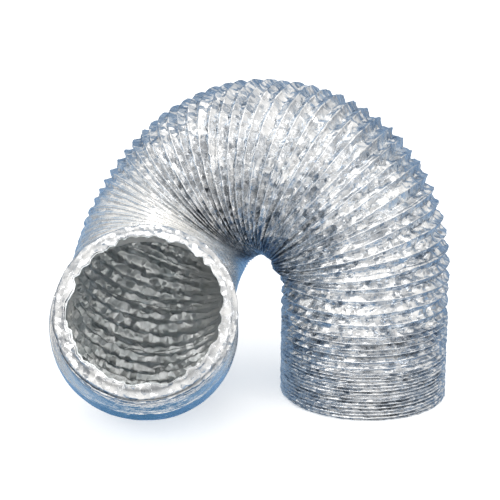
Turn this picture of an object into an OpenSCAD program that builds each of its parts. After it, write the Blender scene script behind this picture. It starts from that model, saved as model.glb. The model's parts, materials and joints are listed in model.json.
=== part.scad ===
// Flexible foil duct for a 150 mm ventilation spigot, stood in an arch.
// Two bonded foil plies hold a coil of spring wire. The duct is divided along its length into
// short sections, so that each one can move on the next. Section 1 stands on the floor around
// the origin, and the mouth is the last section.

/* [Wall] */
// Clear inside diameter, which slides over a 150 mm spigot
bore_d = 152; // [150:0.5:153]
// Diameter over the ridges
outer_d = 160; // [159:0.5:163]
// Diameter of the spring wire
wire_d = 1; // [0.8:0.1:1.2]
// Thickness of the adhesive on each side of the wire
bond_t = 0.2; // [0.1:0.05:0.3]
// Clear space between one section and the next
section_gap = 0.3; // [0.2:0.1:0.6]

/* [Standing end] */
// Height of the section on the floor, where the pleats are pushed together
foot_h = 46.5; // [30:0.5:60]
// Turns of wire in it
foot_turns = 14; // [6:1:16]
// Sections with open pleats above it
leg_sections = 2; // [1:1:3]
// Height of each of them
leg_h = 36; // [24:0.5:60]
// Turns of wire in the lowest of them
low_leg_turns = 6; // [1:1:12]
// Turns of wire in each of the others
leg_turns = 3; // [1:1:6]

/* [Bend] */
// Radius of the bend, on the duct's centreline
bend_r = 97; // [95:1:130]
// Bend of each section, in degrees
section_bend = 18.5; // [6:0.5:20]
// Turns of wire in each of them
bend_turns = 4; // [1:1:4]
// Sections that bend one way, over the top of the arch
arch_sections = 5; // [1:1:8]
// Sections after them, which swing the duct round to the front
turn_sections = 10; // [1:1:10]
// Compass direction that the arch leans towards, in degrees from +X
arch_heading = 157; // [0:1:360]
// Roll of the bend from one section to the next while it swings round, in degrees
turn_roll = 11; // [0:1:20]
// Sections that roll in this way
rolling_sections = 10; // [0:1:10]

/* [Mouth] */
// Length of the section behind the mouth
neck_l = 16; // [8:1:30]
// Turns of wire in it
neck_turns = 5; // [1:1:5]
// Length of the mouth, which takes the spigot
mouth_l = 36; // [20:1:60]
// Turns of wire in it
mouth_turns = 11; // [1:1:12]

/* [Hidden] */
$fn = 96;
wire_fn = 16;
bore_r = bore_d / 2;
outer_r = outer_d / 2;
wall_t = outer_r - bore_r;
ply_t = (wall_t - wire_d) / 2 - bond_t;
wire_r = (bore_r + outer_r) / 2; // radius of each turn, to the middle of the wire

// Sections are numbered from 1 at the floor.
first_bend = leg_sections + 2;
first_turn = first_bend + arch_sections;
neck = first_turn + turn_sections;
mouth = neck + 1;
sections = [for (i = [1:mouth]) i];

function is_bend(i) = i >= first_bend && i < neck;
function length_of(i) = i == 1 ? foot_h : i < first_bend ? leg_h : i == neck ? neck_l : mouth_l;
function turns_of(i) =
    i == 1 ? foot_turns
    : i == 2 ? low_leg_turns
    : i < first_bend ? leg_turns
    : is_bend(i) ? bend_turns
    : i == neck ? neck_turns
    : mouth_turns;

// Direction that section i bends towards. It holds over the arch, then rolls.
function heading_of(i) = arch_heading + turn_roll * max(0, min(i - first_turn + 1, rolling_sections));

function node_name(part, i) = str(part, i < 10 ? "_0" : "_", i);

// Turns its children through an angle about the bend's axis, which stands bend_r from the centreline.
module turn_about_bend(heading, r, angle) {
    rotate([0, 0, heading]) translate([r, 0, 0]) rotate([0, angle, 0]) translate([-r, 0, 0])
        rotate([0, 0, -heading]) children();
}

// Carries its children from the start of section i to its end.
module over_section(i) {
    if (is_bend(i)) turn_about_bend(heading_of(i), bend_r, section_bend) children();
    else translate([0, 0, length_of(i)]) children();
}

// Carries its children to the start of section i, one section at a time.
module at_section(i) {
    if (i > 1) at_section(i - 1) over_section(i - 1) children();
    else children();
}

// Tube between two radii along section i, set back from its neighbours by half a gap at each end.
// Setting a bent tube back leaves its ends square to the centreline and tightens its own radius.
module sleeve(i, r_in, r_out) {
    setback = section_gap / 2;
    start = i == 1 ? 0 : setback;
    finish = i == mouth ? 0 : setback;
    if (is_bend(i)) {
        r = bend_r - setback / tan(section_bend / 2);
        translate([0, 0, setback]) rotate([0, 0, heading_of(i)]) translate([r, 0, 0]) rotate([90, 0, 0])
            rotate([0, 0, 180 - section_bend]) rotate_extrude(angle = section_bend)
                translate([r, 0]) difference() {
                    circle(r = r_out);
                    circle(r = r_in);
                }
    } else {
        translate([0, 0, start]) rotate_extrude()
            translate([r_in, 0]) square([r_out - r_in, length_of(i) - start - finish]);
    }
}

// One turn of the wire, square to the centreline.
module ring() {
    rotate_extrude() translate([wire_r, 0]) circle(d = wire_d, $fn = wire_fn);
}

module outer_ply(i) {
    color("gainsboro") at_section(i) sleeve(i, outer_r - ply_t, outer_r);
}

module inner_ply(i) {
    color("darkgray") at_section(i) sleeve(i, bore_r, bore_r + ply_t);
}

// The turns of the spring wire between the plies of section i, evenly spaced.
module wire(i) {
    turns = turns_of(i);
    color("dimgray") at_section(i) for (k = [0:turns - 1]) {
        along = (k + 0.5) / turns;
        if (is_bend(i)) turn_about_bend(heading_of(i), bend_r, along * section_bend) ring();
        else translate([0, 0, along * length_of(i)]) ring();
    }
}

for (i = sections) {
    outer_ply(i);
    wire(i);
    inner_ply(i);
}
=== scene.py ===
import json
import math
import bpy
import numpy as np
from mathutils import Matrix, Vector

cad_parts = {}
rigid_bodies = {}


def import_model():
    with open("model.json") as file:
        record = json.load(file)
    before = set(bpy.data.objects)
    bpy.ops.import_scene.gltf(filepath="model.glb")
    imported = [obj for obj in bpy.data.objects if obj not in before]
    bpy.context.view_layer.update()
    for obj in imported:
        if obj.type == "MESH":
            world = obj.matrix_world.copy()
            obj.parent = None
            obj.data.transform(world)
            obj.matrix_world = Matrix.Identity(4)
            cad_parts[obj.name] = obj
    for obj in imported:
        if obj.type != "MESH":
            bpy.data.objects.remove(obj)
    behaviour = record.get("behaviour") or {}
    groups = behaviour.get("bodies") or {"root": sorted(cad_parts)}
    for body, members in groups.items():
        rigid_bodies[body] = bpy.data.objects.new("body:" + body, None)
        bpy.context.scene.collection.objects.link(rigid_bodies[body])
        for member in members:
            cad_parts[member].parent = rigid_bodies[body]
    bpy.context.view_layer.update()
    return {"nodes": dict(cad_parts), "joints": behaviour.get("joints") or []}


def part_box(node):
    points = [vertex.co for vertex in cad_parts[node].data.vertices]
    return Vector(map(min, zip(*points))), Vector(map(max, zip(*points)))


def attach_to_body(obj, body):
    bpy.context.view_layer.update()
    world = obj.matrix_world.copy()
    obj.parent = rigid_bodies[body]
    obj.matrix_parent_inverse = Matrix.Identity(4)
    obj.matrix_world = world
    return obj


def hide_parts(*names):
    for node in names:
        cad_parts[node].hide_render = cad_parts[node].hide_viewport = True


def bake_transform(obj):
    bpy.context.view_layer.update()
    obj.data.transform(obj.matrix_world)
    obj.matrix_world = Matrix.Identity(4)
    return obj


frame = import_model()

mm = 0.001
fullTurn = 2 * math.pi

# The duct is drawn as one long coil. A place on it is a number of turns from the standing end
# and an angle round it, so the wire, both plies and their folds all share one helix.

duct = {
    # turns of wire in each kind of section, and in the one leg section that differs
    "turns": {"standing_end": 14, "leg_02": 6, "leg": 3, "arch": 4, "turn": 4, "neck": 5, "mouth": 11},
    "around": 320,        # points round each ply
    "openRings": 16,      # rings of points per turn of wire where the pleats are open
    "closedRings": 10,    # and where they are pushed together
    "closedPitch": 5 * mm,
}


def rotated(v, axis, angle):
    # Rodrigues' formula, for many points at once
    c, s = np.cos(angle)[..., None], np.sin(angle)[..., None]
    dot = np.sum(v * axis, axis=-1, keepdims=True)
    return v * c + np.cross(axis, v) * s + axis * dot * (1 - c)


def reach(nodeName, point, direction):
    co = np.array([v.co for v in frame["nodes"][nodeName].data.vertices], float)
    along = (co - point) @ direction
    return along.min(), along.max()


def layPath():
    # follows the joints from the floor up; a bent section is an arc about its hinge's own axis
    joints = frame["joints"]
    bodies = [joints[0]["parent"]] + [j["child"] for j in joints]
    low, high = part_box("outer_ply_01")
    radius = (high.x - low.x) / 2
    point, across, along = np.zeros(3), np.array([1.0, 0, 0]), np.array([0, 0, 1.0])
    sections = []
    firstTurn = 0
    for i, body in enumerate(bodies):
        kind = body if body == "standing_end" else body.rsplit("_", 1)[0]
        turns = duct["turns"].get(body, duct["turns"].get(kind))
        s = {"body": body, "from": firstTurn, "turns": turns, "point": point, "across": across,
             "along": along, "bend": 0.0, "length": 0.0, "axis": np.zeros(3), "centre": np.zeros(3),
             "inX": 0.0, "inY": 0.0}
        if kind in ("arch", "turn"):
            joint = joints[i]
            s["axis"] = -np.array(joint["axis"], float)
            s["bend"] = math.radians(joint["range_deg"][1])
            angle = np.array(s["bend"])
            side = np.cross(along, across)
            endAlong = rotated(along, s["axis"], angle)
            inward = np.cross(s["axis"], endAlong)
            end = np.array(joint["pos_m"], float) + radius * inward
            bendRadius = np.linalg.norm(end - point) / (2 * math.sin(s["bend"] / 2))
            s["centre"] = end + bendRadius * inward
            s["inX"] = (s["centre"] - point) @ across / bendRadius
            s["inY"] = (s["centre"] - point) @ side / bendRadius
            across, along, point = rotated(across, s["axis"], angle), endAlong, end
        else:
            reached = reach("outer_ply_%02d" % (i + 1), point, along)[1]
            if i + 1 < len(bodies):
                reached = (reached + reach("outer_ply_%02d" % (i + 2), point, along)[0]) / 2
            s["length"] = reached
            point = point + along * reached
        sections.append(s)
        firstTurn += turns
    return sections, radius, firstTurn


path, ductRadius, allTurns = layPath()
table = {key: np.array([s[key] for s in path], float) for key in path[0] if key != "body"}
middles = table["from"] + table["turns"] / 2
print("path laid:", len(path), "sections,", allTurns, "turns")


def sectionAt(n):
    return np.clip(np.searchsorted(table["from"], n, side="right") - 1, 0, len(path) - 1)


def place(n, phi, r):
    k = sectionAt(n)
    share = (n - table["from"][k]) / table["turns"][k]
    x, t = table["across"][k], table["along"][k]
    y = np.cross(t, x)
    v = table["point"][k] + r[:, None] * (np.cos(phi)[:, None] * x + np.sin(phi)[:, None] * y)
    c = table["centre"][k]
    bent = rotated(v - c, table["axis"][k], table["bend"][k] * share) + c
    straight = v + t * (table["length"][k] * share)[:, None]
    return np.where(table["bend"][k][:, None] > 0, bent, straight)


def pitchByMiddle():
    # distance between turns at the middle of each section, at the centreline
    arc = table["bend"] * np.linalg.norm(table["centre"] - table["point"], axis=1)
    return np.where(table["bend"] > 0, arc, table["length"]) / table["turns"]


centrePitch = pitchByMiddle()
bendPerTurn = table["bend"] / table["turns"]


def inwardness(n, phi):
    # 1 on the inside of a bend, -1 on its outside, and 0 where the duct is straight
    x, y = np.interp(n, middles, table["inX"]), np.interp(n, middles, table["inY"])
    return x * np.cos(phi) + y * np.sin(phi)


def pitchAt(n, phi):
    # distance between turns where the wall is this far round, as a bend closes its inside
    shorter = ductRadius * np.interp(n, middles, bendPerTurn) * inwardness(n, phi)
    return np.interp(n, middles, centrePitch) - shorter


foil = {
    "ply": 0.3 * mm,
    "wireRadius": 78.0 * mm,
    "closedBelow": 2.5 * mm,   # turns closer than this are fully closed
    "openAbove": 10.5 * mm,    # and turns wider apart than this are fully open
    "openDepth": 5.4 * mm,     # how far the foil dips between two turns
    "closedDepth": 3.0 * mm,
    "endDepth": 1.9 * mm,      # the same at the standing end
    "endTurns": (11, 16),      # over these turns the depth grows from there to what it is elsewhere
    "smoothDepth": 0.5 * mm,   # the depth where the foil is drawn smooth
    "depthRange": (0.55, 1.45),
    "roundFold": 1.25,         # above 1, the dip between closed turns is rounded, not sharp
    "bunch": 9.0 * mm,         # how far the closed turns are pushed out inside a bend
    "crownSwell": 3.5 * mm,    # how far the open turns stand out over the top of the arch
    "crownBody": "arch_06",
    "crownTurns": 10,
    "neckSwell": 9.0 * mm,     # and how far the duct bulges to its left behind the mouth
    "neckBody": "turn_18",
    "neckTurns": 8,
    "swellPower": 1.5,         # above 1, the bunch and the bulge are narrower round the duct
    "cellsAround": 80,         # dents round the duct, and along one turn of foil
    "cellsPerTurn": 3,
    "smallCells": (2.3, 2),    # how many times finer the small dents are, along and round the duct
    "cellDrift": 0.45,         # how far the corners of the dents stray, in dents
    "dent": 1.7 * mm,
    "smallDent": 0.7 * mm,
    "dentedPart": 1.7,         # the larger, the nearer to the wire the dents reach
    "closedDents": 0.35,       # share of the dents' depth where the turns are closed
    "dentShift": 0.12,         # how far a dent pulls the foil along the duct, in turns
    "wireRound": 1.0 * mm,     # width over which the plies part round the wire, and their clearances
    "wireGap": 0.03 * mm,
    "plyGap": 0.02 * mm,
    "pucker": 0.9 * mm,        # gathers in the foil where it is stretched over the wire
    # width and contrast of the painted shade in the bottom of the creases
    "creaseWidth": 0.55 * mm,
    "creaseContrast": (1.9, 0.45),
    "openCreases": 0.4,        # how much of a crease's painted shade is left where the turns are open
    "sway": 0.16,              # how far a turn lies out of its place, in turns
    "wobble": 0.7 * mm,
    "freeTurns": 14,           # turns at each end over which sway and wobble die away
    "lip": 12.0 * mm,          # how far the loose foil past the last turns is turned in at the mouth
    "lipTurns": 1.6,
    "lipPower": 1.3,
    "lipUneven": 0.25,
    "lipDent": 0.8,
    "texturePitch": 11 * mm,   # length of foil that one turn takes in the material
    "seed": 7,
}
smooth = {
    "turns": 24,               # turns at the mouth where the pleats are drawn smooth
    "fade": 5,
    "rimTurns": 2,             # turns at its rim that stay crumpled
    "rimFade": 4,
    "insideTurns": 24,         # further turns before them, smooth on the inside of the bend
    "insideFade": 9,
    "insideStop": 14,          # the inside counts up to here, in turns from the mouth
    "insideStopFade": 6,
    "share": 1.15,             # smoothness halfway round, and how it grows towards the inside
    "slope": 1.8,
    # how much of each stays crumpled there: the dents, the gathers at the wire and the painted shade in the
    # creases
    "dents": 0.3,
    "pucker": 0.2,
    "creases": 0.2,
}
grain = {
    # steps of each noise for a turn along the duct and all the way round it, and its first step
    "drift": (1.7, 40, 0),
    "pucker": (2.0, 90, 0),
    "sway": (0.93, 7, 4),
    "wobble": (0.81, 7, 90),
    "depth": (1.3, 24, 0),
    "crease": (1.7, 5, 8),
}
wire = {"diameter": 1.0 * mm, "stepsPerTurn": 60, "sides": 8}
rng = np.random.default_rng(foil["seed"])


def facets(a, b, heights):
    # flat triangles between random heights, the second direction closing on itself
    rows, cols = heights.shape
    i, j = np.floor(a).astype(int), np.floor(b).astype(int)
    fa, fb = a - i, b - j

    def h(di, dj):
        return heights[(i + di) % rows, (j + dj) % cols]

    flip = (i + j) % 2 == 1
    fb = np.where(flip, 1 - fb, fb)
    h00, h01 = np.where(flip, h(0, 1), h(0, 0)), np.where(flip, h(0, 0), h(0, 1))
    h10, h11 = np.where(flip, h(1, 1), h(1, 0)), np.where(flip, h(1, 0), h(1, 1))
    lower = h00 + fa * (h10 - h00) + fb * (h01 - h00)
    upper = h11 + (1 - fa) * (h01 - h11) + (1 - fb) * (h10 - h11)
    return np.where(fa + fb < 1, lower, upper)


def smoothNoise(a, b, heights):
    rows, cols = heights.shape
    i, j = np.floor(a).astype(int), np.floor(b).astype(int)
    fa, fb = a - i, b - j
    fa, fb = fa * fa * (3 - 2 * fa), fb * fb * (3 - 2 * fb)
    h00, h10 = heights[i % rows, j % cols], heights[(i + 1) % rows, j % cols]
    h01, h11 = heights[i % rows, (j + 1) % cols], heights[(i + 1) % rows, (j + 1) % cols]
    return (h00 * (1 - fa) + h10 * fa) * (1 - fb) + (h01 * (1 - fa) + h11 * fa) * fb


def grainAt(name, n, phi, heights):
    along, around, first = grain[name]
    return smoothNoise(n * along + first, phi / fullTurn * around, heights)


dents = rng.uniform(-1, 1, (400, foil["cellsAround"]))
smallDents = rng.uniform(-1, 1, (900, 2 * foil["cellsAround"]))
drift = rng.uniform(-1, 1, (2, 300, 40))
pucker = rng.uniform(0, 1, (400, 90))
lean = rng.uniform(-1, 1, (200, 7))
looseness = rng.uniform(0, 1, (200, 24))
# how dark the painted shade is in each crease
paintedCreaseShadeStrength = rng.uniform(0, 1, (200, 5))


def endTaper(n, turns):
    return np.clip(np.minimum(n, allTurns - n) / turns, 0, 1)


def openness(n, phi):
    closed, wide = foil["closedBelow"], foil["openAbove"]
    return np.clip((pitchAt(n, phi) - closed) / (wide - closed), 0, 1)


def leftness(n, phi):
    # 1 where the wall faces -X, 0 at its top and bottom
    side = np.cross(table["along"], table["across"])
    x, y = np.interp(n, table["from"], table["across"][:, 0]), np.interp(n, table["from"], side[:, 0])
    return -(x * np.cos(phi) + y * np.sin(phi))


def hump(n, body, turns):
    # 1 at the middle of a section, falling smoothly to 0 this many turns away
    middle = next(m for s, m in zip(path, middles) if s["body"] == body)
    return 0.5 + 0.5 * np.cos(math.pi * np.clip((n - middle) / turns, -1, 1))


def turnShape(n, phi):
    # how far the turn of wire near here lies along and out from its even place
    free = openness(n, phi) * endTaper(n, foil["freeTurns"])
    shift = foil["sway"] * free * grainAt("sway", n, phi, lean)
    out = foil["wobble"] * free * grainAt("wobble", n, phi, lean)
    towards = inwardness(n, phi)
    crown = hump(n, foil["crownBody"], foil["crownTurns"])
    neck = hump(n, foil["neckBody"], foil["neckTurns"])
    out = out + foil["bunch"] * np.clip(towards, 0, 1) ** foil["swellPower"]
    out = out + foil["crownSwell"] * np.clip(-towards, 0, 1) * crown
    out = out + foil["neckSwell"] * np.clip(leftness(n, phi), 0, 1) ** foil["swellPower"] * neck
    return np.clip(n + shift, 0, allTurns), foil["wireRadius"] + out


def rise(n, start, turns):
    # from 0 to 1 over a number of turns
    return np.clip((n - start) / turns, 0, 1)


def calm(n, phi):
    # 1 where the foil is drawn smooth: over the turns at the mouth, up to its crumpled rim, and
    # before them on the inside of the bend
    first = allTurns - smooth["turns"]
    rim = allTurns - foil["lipTurns"] - smooth["rimTurns"]
    stop = allTurns - smooth["insideStop"]
    atMouth = rise(n, first, smooth["fade"]) * rise(-n, -rim, smooth["rimFade"])
    insideBend = rise(n, first - smooth["insideTurns"], smooth["insideFade"])
    insideBend = insideBend * rise(-n, -stop, smooth["insideStopFade"])
    share = np.clip(smooth["share"] + smooth["slope"] * inwardness(n, phi), 0, 1)
    return np.maximum(atMouth, insideBend * share)


def foldDepth(n, phi):
    # how far the foil dips midway between two turns
    closed, wide, end = foil["closedDepth"], foil["openDepth"], foil["endDepth"]
    low, high = foil["depthRange"]
    start, stop = foil["endTurns"]
    depth = closed + (wide - closed) * openness(n, phi)
    depth = end + (depth - end) * rise(n, start, stop - start)
    depth = depth + (foil["smoothDepth"] - depth) * calm(n, phi)
    return depth * (low + (high - low) * grainAt("depth", n, phi, looseness))


def foilShape(n, phi):
    around = phi / fullTurn
    driftA, driftB = (grainAt("drift", n, phi, d) for d in drift)
    dentA = n * foil["cellsPerTurn"] + foil["cellDrift"] * driftA
    dentB = around * foil["cellsAround"] + foil["cellDrift"] * driftB
    big = facets(dentA, dentB, dents)
    small = facets(foil["smallCells"][0] * dentA, foil["smallCells"][1] * dentB, smallDents)
    isOpen, smoothness = openness(n, phi), calm(n, phi)
    v = (n - around) - np.round(n - around)   # 0 on the wire, half a turn away midway
    far = np.abs(v) * 2
    fold = far ** (foil["roundFold"] + (1 - foil["roundFold"]) * isOpen)
    closedDents = foil["closedDents"]
    free = np.clip(far * foil["dentedPart"], 0, 1) * (closedDents + (1 - closedDents) * isOpen)
    dentShare = free * (1 + (smooth["dents"] - 1) * smoothness)
    dent = dentShare * (foil["dent"] * big + foil["smallDent"] * small)
    nn, r = turnShape(n, phi)
    middle = r - foldDepth(n, phi) * fold + dent
    nearWire = np.exp(-(v * pitchAt(n, phi) / foil["wireRound"]) ** 2)
    half = foil["plyGap"] + (wire["diameter"] / 2 + foil["wireGap"]) * nearWire
    gather = foil["pucker"] * nearWire * (1 + (smooth["pucker"] - 1) * smoothness)
    gather = gather * grainAt("pucker", n, phi, pucker)
    # loose foil past the last turns of wire turns in over the raw end
    over = np.clip((n - allTurns) / foil["lipTurns"] + 1, 0, 1)
    lip = foil["lip"] * over ** foil["lipPower"] * (1 + foil["lipUneven"] * big * over)
    middle = np.where(over > 0, r - lip + foil["lipDent"] * dent, middle)
    shift = foil["dentShift"] * free * big * endTaper(n, 1)
    return np.clip(nn + shift, 0, allTurns), middle, half, gather


def paintedCreaseShadeAt(n, phi):
    # painted shade: 1 in the bottom of a hard crease between two turns, where the colour is darkened to
    # stand in for shade;
    # some creases get far darker painted shade than others, and it fades where the turns are open or the
    # foil is smooth
    around = phi / fullTurn
    u = n - around - 0.5
    offset = (u - np.round(u)) * pitchAt(n, phi)
    gain, threshold = foil["creaseContrast"]
    strength = np.clip(gain * grainAt("crease", np.round(u) + around, phi, paintedCreaseShadeStrength) - threshold, 0, 1)
    strength = strength * (1 + (foil["openCreases"] - 1) * openness(n, phi))
    strength = strength * (1 + (smooth["creases"] - 1) * calm(n, phi))
    return np.exp(-(offset / foil["creaseWidth"]) ** 2) * strength


def ringsBetween(start, stop):
    rings = [start]
    while rings[-1] < stop - 1e-9:
        k = int(sectionAt(rings[-1] + 1e-9))
        isClosed = centrePitch[k] < duct["closedPitch"]
        perTurn = duct["closedRings"] if isClosed else duct["openRings"]
        rings.append(min(stop, rings[-1] + 1 / perTurn))
    return np.array(rings)


def makeMesh(name, co, faces, material, n, phi, crease):
    mesh = bpy.data.meshes.new(name)
    mesh.vertices.add(len(co))
    mesh.vertices.foreach_set("co", co.astype(np.float32).ravel())
    mesh.loops.add(faces.size)
    mesh.loops.foreach_set("vertex_index", faces.astype(np.int32).ravel())
    mesh.polygons.add(len(faces))
    mesh.polygons.foreach_set("loop_start", np.arange(0, faces.size, 4, dtype=np.int32))
    mesh.polygons.foreach_set("loop_total", np.full(len(faces), 4, dtype=np.int32))
    mesh.polygons.foreach_set("use_smooth", np.ones(len(faces), dtype=bool))
    mesh.update(calc_edges=True)
    mesh.validate()
    made = mesh.attributes.new("foilPlace", "FLOAT_VECTOR", "POINT")
    made.data.foreach_set("vector", unrolled(n, phi).astype(np.float32).ravel())
    # the crease attribute is a mask of painted shade for the creases; smooth marks where the foil is drawn
    # smooth and gets a painted highlight
    for label, values in (("crease", crease), ("smooth", calm(n, phi))):
        made = mesh.attributes.new(label, "FLOAT", "POINT")
        made.data.foreach_set("value", values.astype(np.float32))
    mesh.materials.append(material)
    piece = bpy.data.objects.new(name, mesh)
    bpy.context.scene.collection.objects.link(piece)
    return piece


def unrolled(n, phi):
    # where the material lies on this foil if the duct were straight, so that it moves with the foil
    r = foil["wireRadius"]
    return np.stack([r * np.cos(phi), r * np.sin(phi), n * foil["texturePitch"]], axis=-1)


def tubeFaces(rows, cols, first, outward):
    i, j = np.meshgrid(np.arange(rows - 1), np.arange(cols), indexing="ij")
    a, b = i * cols + j, i * cols + (j + 1) % cols
    quads = np.stack([a, b, b + cols, a + cols], axis=-1).reshape(-1, 4) + first
    return quads if outward else quads[:, ::-1]


def rimFaces(outerFirst, innerFirst, cols, atStart):
    j = np.arange(cols)
    k = (j + 1) % cols
    quads = np.stack([innerFirst + j, innerFirst + k, outerFirst + k, outerFirst + j], axis=-1)
    return quads if atStart else quads[:, ::-1]


def makePly(name, rings, outside, material):
    cols = duct["around"]
    n, phi = np.meshgrid(rings, np.arange(cols) * fullTurn / cols, indexing="ij")
    n, phi = n.ravel(), phi.ravel()
    nn, middle, half, gather = foilShape(n, phi)
    if outside:
        upper, lower = middle + half + foil["ply"] + gather, middle + half
    else:
        upper, lower = middle - half, middle - half - foil["ply"] - gather
    rows = len(rings)
    count, last = rows * cols, (rows - 1) * cols
    faces = np.concatenate([
        tubeFaces(rows, cols, 0, True),
        tubeFaces(rows, cols, count, False),
        rimFaces(0, count, cols, True),
        rimFaces(last, count + last, cols, False),
    ])
    co = np.concatenate([place(nn, phi, upper), place(nn, phi, lower)])
    n, phi = np.concatenate([n, n]), np.concatenate([phi, phi])
    return makeMesh(name, co, faces, material, n, phi, paintedCreaseShadeAt(n, phi)), n


def makeWire(name, start, stop, material):
    stop = min(stop, allTurns - foil["lipTurns"])
    sides, r = wire["sides"], wire["diameter"] / 2
    n = np.linspace(start, stop, int(round((stop - start) * wire["stepsPerTurn"])) + 1)
    phi = n * fullTurn
    nn, centreRadius = turnShape(n, phi)
    centre = place(nn, phi, centreRadius)
    up = (place(nn, phi, centreRadius + mm) - centre) / mm
    tangent = np.gradient(centre, axis=0)
    side = np.cross(tangent, up)
    side /= np.linalg.norm(side, axis=1)[:, None]
    a = np.arange(sides) * fullTurn / sides
    ring = np.cos(a)[None, :, None] * up[:, None] + np.sin(a)[None, :, None] * side[:, None]
    co = (centre[:, None] + r * ring).reshape(-1, 3)
    quads = tubeFaces(len(n), sides, 0, False)
    tips = np.arange(sides)
    ends = []
    for first, flip in ((0, False), ((len(n) - 1) * sides, True)):
        for j in range(1, sides - 2, 2):   # each end is closed by a fan of quads
            quad = first + tips[[0, j, j + 1, j + 2]]
            ends.append(quad[::-1] if flip else quad)
    faces = np.concatenate([quads, np.array(ends)])
    n, phi = np.repeat(n, sides), np.repeat(phi, sides)
    return makeMesh(name, co, faces, material, n, phi, np.zeros(len(co))), n


print("helix ready")


def addNode(tree, kind, x, y, **values):
    made = tree.nodes.new(kind)
    made.location = (x, y)
    for key, value in values.items():
        if hasattr(made, key):
            setattr(made, key, value)
        else:
            made.inputs[key.replace("_", " ")].default_value = value
    return made


mixInput = {"factor": 0, "first": 6, "second": 7}   # sockets of a Mix node that mixes colours
mixResult = 2


def mixColour(tree, x, y, factor, first, second):
    # mixes a fixed colour in over the first one
    mixed = addNode(tree, "ShaderNodeMix", x, y, data_type="RGBA")
    mixed.inputs[mixInput["second"]].default_value = second
    tree.links.new(factor, mixed.inputs[mixInput["factor"]])
    tree.links.new(first, mixed.inputs[mixInput["first"]])
    return mixed.outputs[mixResult]


finishes = {
    "outerFoil": {"light": (0.87, 0.865, 0.86), "dark": (0.63, 0.64, 0.655), "roughness": 0.27, "tilt": 0.5},
    "innerFoil": {"light": (0.97, 0.99, 0.99), "dark": (0.78, 0.82, 0.82), "roughness": 0.42, "tilt": 0.6},
    "springWire": {"light": (0.5, 0.51, 0.53), "dark": (0.38, 0.39, 0.41), "roughness": 0.35, "tilt": 0.05},
    # painted reflection: a blue edge tint on the metal that stands in for blue surroundings mirrored at
    # grazing angles
    "edgeTint": (0.66, 0.82, 1.0, 1),
    # painted shade: near-black colour mixed into the bottom of the creases
    "creaseShade": (0.08, 0.09, 0.10, 1),
    # painted highlight: brighter, warmer base colour where the foil is drawn smooth
    "smoothFoil": (1.0, 0.98, 0.95, 1),
    "smoothTilt": 0.25,             # share of the tilt left where the foil is smooth
    "tilesPerMetre": 230.0,
    "creasesPerMetre": 420.0,
    "patchesPerMetre": 70.0,
    "patchEdges": (0.36, 0.60),     # where the patch noise turns from dark to light
    "creaseEdges": (0.3, 0.7),
    "roughnessSpread": (-0.08, 0.10),
    "bump": {"Strength": 0.5, "Distance": 0.0006},
}


def addToneAndPaintedLight(tree, look, patches):
    # colour: metal with duller patches, a painted highlight (brighter and warmer) where the foil is smooth,
    # and painted shade darkening the creases
    tone = addNode(tree, "ShaderNodeValToRGB", -560, 480)
    colours = (look["dark"], look["light"])
    for stop, position, colour in zip(tone.color_ramp.elements, finishes["patchEdges"], colours):
        stop.position = position
        stop.color = (*colour, 1)
    tree.links.new(patches, tone.inputs["Fac"])
    smoothPlace = addNode(tree, "ShaderNodeAttribute", -1500, 300, attribute_name="smooth").outputs["Fac"]
    paintedCreaseShadePlace = addNode(tree, "ShaderNodeAttribute", -800, 700, attribute_name="crease").outputs["Fac"]
    # painted highlight: the colour turns brighter and warmer where the foil is smooth
    withPaintedHighlight = mixColour(tree, -400, 480, smoothPlace, tone.outputs["Color"], finishes["smoothFoil"])
    # painted shade: near-black mixed in at the bottom of the creases
    return mixColour(tree, -260, 480, paintedCreaseShadePlace, withPaintedHighlight, finishes["creaseShade"]), smoothPlace


def addRoughness(tree, look, creases):
    rough = addNode(tree, "ShaderNodeMapRange", -560, 200)
    less, more = finishes["roughnessSpread"]
    rough.inputs["From Min"].default_value, rough.inputs["From Max"].default_value = finishes["creaseEdges"]
    rough.inputs["To Min"].default_value = look["roughness"] + less
    rough.inputs["To Max"].default_value = look["roughness"] + more
    tree.links.new(creases, rough.inputs["Value"])
    return rough.outputs["Result"]


def addCrumple(tree, look, tiles, creases, smoothPlace):
    # each small tile of crumpled foil leans its own way, and fine creases are bumped over it
    link = tree.links.new
    tilt = addNode(tree, "ShaderNodeMapRange", -1000, 250)
    tilt.inputs["To Min"].default_value = look["tilt"]
    tilt.inputs["To Max"].default_value = finishes["smoothTilt"] * look["tilt"]
    link(smoothPlace, tilt.inputs["Value"])
    centred = addNode(tree, "ShaderNodeVectorMath", -1000, 0, operation="SUBTRACT")
    centred.inputs[1].default_value = (0.5, 0.5, 0.5)
    link(tiles, centred.inputs[0])
    scaled = addNode(tree, "ShaderNodeVectorMath", -800, 0, operation="SCALE")
    link(tilt.outputs["Result"], scaled.inputs["Scale"])
    link(centred.outputs["Vector"], scaled.inputs[0])
    surface = addNode(tree, "ShaderNodeNewGeometry", -1000, -200)
    leaned = addNode(tree, "ShaderNodeVectorMath", -600, -100, operation="ADD")
    link(surface.outputs["Normal"], leaned.inputs[0])
    link(scaled.outputs["Vector"], leaned.inputs[1])
    unit = addNode(tree, "ShaderNodeVectorMath", -420, -100, operation="NORMALIZE")
    link(leaned.outputs["Vector"], unit.inputs[0])
    bump = addNode(tree, "ShaderNodeBump", -220, -150, **finishes["bump"])
    link(creases, bump.inputs["Height"])
    link(unit.outputs["Vector"], bump.inputs["Normal"])
    return bump.outputs["Normal"]


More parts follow.
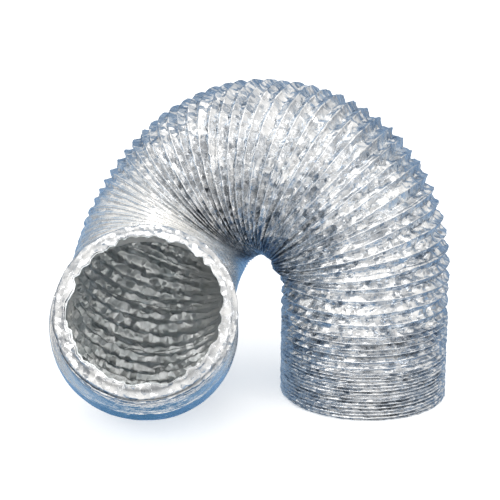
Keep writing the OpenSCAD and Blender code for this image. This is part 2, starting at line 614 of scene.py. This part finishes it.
def makeFoil(name):
    look = finishes[name]
    mat = bpy.data.materials.new(name)
    mat.use_nodes = True
    tree = mat.node_tree
    shader = tree.nodes["Principled BSDF"]
    shader.inputs["Metallic"].default_value = 1.0
    # painted reflection: blue tint at the grazing edges of the metal
    shader.inputs["Specular Tint"].default_value = finishes["edgeTint"]
    spot = addNode(tree, "ShaderNodeAttribute", -1500, 0, attribute_name="foilPlace")
    tiles = addNode(tree, "ShaderNodeTexVoronoi", -1250, 150, feature="F1", Scale=finishes["tilesPerMetre"])
    creases = addNode(tree, "ShaderNodeTexNoise", -1250, -250, Scale=finishes["creasesPerMetre"], Detail=3.0)
    patches = addNode(tree, "ShaderNodeTexNoise", -1250, 500, Scale=finishes["patchesPerMetre"], Detail=4.0)
    for texture in (tiles, creases, patches):
        tree.links.new(spot.outputs["Vector"], texture.inputs["Vector"])
    tone, smoothPlace = addToneAndPaintedLight(tree, look, patches.outputs["Fac"])
    roughness = addRoughness(tree, look, creases.outputs["Fac"])
    normal = addCrumple(tree, look, tiles.outputs["Color"], creases.outputs["Fac"], smoothPlace)
    tree.links.new(tone, shader.inputs["Base Color"])
    tree.links.new(roughness, shader.inputs["Roughness"])
    tree.links.new(normal, shader.inputs["Normal"])
    return mat


outerFoil, innerFoil, springWire = (makeFoil(name) for name in ("outerFoil", "innerFoil", "springWire"))


def attach(piece, i):
    # the first and last lengths ride on the end bodies; each other one runs from the middle of a
    # section to the middle of the next, across the joint between them, and is left in place with its
    # transform baked in, attached to no body
    if i == 0:
        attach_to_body(piece, path[0]["body"])
    elif i == len(path):
        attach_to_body(piece, path[-1]["body"])
    else:
        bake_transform(piece)


def makeDuct():
    plies = (("outerPly", True, outerFoil, "outer_ply_%02d", "outer_foil"),
             ("innerPly", False, innerFoil, "inner_ply_%02d", "inner_foil"))
    cuts = [0.0] + list(middles) + [float(allTurns)]
    for i in range(len(cuts) - 1):
        rings = ringsBetween(cuts[i], cuts[i + 1])
        stands = min(i + 1, len(path))
        for label, outside, material, nodeName, slot in plies:
            ply, turnsAt = makePly("%s%02d" % (label, i + 1), rings, outside, material)
            attach(ply, i)
            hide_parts(nodeName % stands)
        coil, turnsAt = makeWire("springWire%02d" % (i + 1), cuts[i], cuts[i + 1], springWire)
        attach(coil, i)
        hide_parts("wire_%02d" % stands)


makeDuct()

studio = {
    "floorSize": 30,
    "floor": (0.95, 0.95, 0.95, 1),
    "floorRoughness": 0.9,
    "floorGlow": 0.45,
    "floorDrop": 0.6 * mm,
    "middle": (-0.1, -0.05, 0.12),
    "shown": (1, 1, 1, 1),
    # brightness of the room by height, from straight down to straight up
    "heights": ((0.0, (0.05, 0.16, 0.30)), (0.22, (0.24, 0.40, 0.62)), (0.34, (0.46, 0.58, 0.72)),
                (0.46, (0.46, 0.50, 0.55)), (0.56, (0.26, 0.27, 0.29)), (0.66, (0.74, 0.75, 0.76)),
                (0.78, (0.98, 0.98, 0.97)), (1.0, (1.12, 1.11, 1.09))),
    "back": {"towards": (0.0, 0.96, 0.20), "from": 0.48, "to": 0.88, "colour": (0.32, 0.42, 0.54, 1)},
    "front": {"towards": (0.05, -0.98, -0.15), "from": 0.62, "to": 0.97, "colour": (1.24, 1.23, 1.21, 1)},
}


def makeFloor():
    bpy.ops.mesh.primitive_plane_add(size=studio["floorSize"], location=(0, 0, -studio["floorDrop"]))
    floor = bpy.context.object
    floor.name = "floor"
    floor.visible_glossy = False   # the foil mirrors the room's own colours instead
    mat = bpy.data.materials.new("floorPaper")
    mat.use_nodes = True
    shader = mat.node_tree.nodes["Principled BSDF"]
    shader.inputs["Base Color"].default_value = studio["floor"]
    shader.inputs["Roughness"].default_value = studio["floorRoughness"]
    shader.inputs["Emission Color"].default_value = (1, 1, 1, 1)
    shader.inputs["Emission Strength"].default_value = studio["floorGlow"]
    floor.data.materials.append(mat)


def addSide(tree, direction, base, side, x):
    # mixes a colour in towards one side of the room
    dot = addNode(tree, "ShaderNodeVectorMath", x, -200, operation="DOT_PRODUCT")
    dot.inputs[1].default_value = side["towards"]
    tree.links.new(direction, dot.inputs[0])
    share = addNode(tree, "ShaderNodeMapRange", x + 150, -200, interpolation_type="SMOOTHSTEP")
    share.inputs["From Min"].default_value, share.inputs["From Max"].default_value = side["from"], side["to"]
    tree.links.new(dot.outputs["Value"], share.inputs["Value"])
    return mixColour(tree, x + 300, 0, share.outputs["Result"], base, side["colour"])


def makeRoom():
    world = bpy.data.worlds.new("studio")
    bpy.context.scene.world = world
    world.use_nodes = True
    tree = world.node_tree
    back = tree.nodes["Background"]
    direction = addNode(tree, "ShaderNodeTexCoord", -1500, 0).outputs["Generated"]
    split = addNode(tree, "ShaderNodeSeparateXYZ", -1300, 100)
    tree.links.new(direction, split.inputs["Vector"])
    height = addNode(tree, "ShaderNodeMapRange", -1150, 100)
    height.inputs["From Min"].default_value = -1.0
    tree.links.new(split.outputs["Z"], height.inputs["Value"])
    ramp = addNode(tree, "ShaderNodeValToRGB", -1000, 100)
    while len(ramp.color_ramp.elements) < len(studio["heights"]):
        ramp.color_ramp.elements.new(0.5)
    for stop, (position, colour) in zip(ramp.color_ramp.elements, studio["heights"]):
        stop.position = position
        stop.color = (*colour, 1)
    tree.links.new(height.outputs["Result"], ramp.inputs["Fac"])
    colour = addSide(tree, direction, ramp.outputs["Color"], studio["back"], -800)
    colour = addSide(tree, direction, colour, studio["front"], -450)
    # the camera sees plain white, and only the foil mirrors these colours
    seen = addNode(tree, "ShaderNodeLightPath", -200, 300)
    shown = mixColour(tree, -50, 150, seen.outputs["Is Camera Ray"], colour, studio["shown"])
    tree.links.new(shown, back.inputs["Color"])
    back.inputs["Strength"].default_value = 1.0


panels = {
    "topPanel": {"at": (-0.2, -0.4, 1.5), "size": (1.0, 0.7), "brightness": 1.5, "colour": (1, 1, 1)},
    "keyPanel": {"at": (-0.9, -1.3, 1.0), "size": (0.35, 0.45), "brightness": 6, "colour": (1, 0.99, 0.97)},
    "fillPanel": {"at": (1.1, -1.0, 0.7), "size": (0.3, 0.5), "brightness": 4, "colour": (0.97, 0.98, 1)},
}


def aimed(location, target):
    return (Vector(target) - Vector(location)).to_track_quat("-Z", "Y").to_euler()


def makeLights():
    for name, panel in panels.items():
        data = bpy.data.lights.new(name, "AREA")
        data.shape = "RECTANGLE"
        data.size, data.size_y = panel["size"]
        data.energy = panel["brightness"] * math.pi * data.size * data.size_y
        data.color = panel["colour"]
        lamp = bpy.data.objects.new(name, data)
        lamp.location = panel["at"]
        lamp.rotation_euler = aimed(panel["at"], studio["middle"])
        bpy.context.scene.collection.objects.link(lamp)


view = {"from": (-0.1, -1.256, 0.508), "aim": (-0.1087, -0.0185, 0.1453),
        "lens": 100.0, "sensor": 36, "clip": (0.01, 100)}


def makeCamera():
    data = bpy.data.cameras.new("camera")
    data.lens = view["lens"]
    data.sensor_width = view["sensor"]
    data.clip_start, data.clip_end = view["clip"]
    camera = bpy.data.objects.new("camera", data)
    camera.location = view["from"]
    camera.rotation_euler = aimed(view["from"], view["aim"])
    bpy.context.scene.collection.objects.link(camera)
    bpy.context.scene.camera = camera


makeFloor()
makeRoom()
makeLights()
makeCamera()
bpy.context.scene.view_settings.view_transform = "Standard"
print("studio ready")
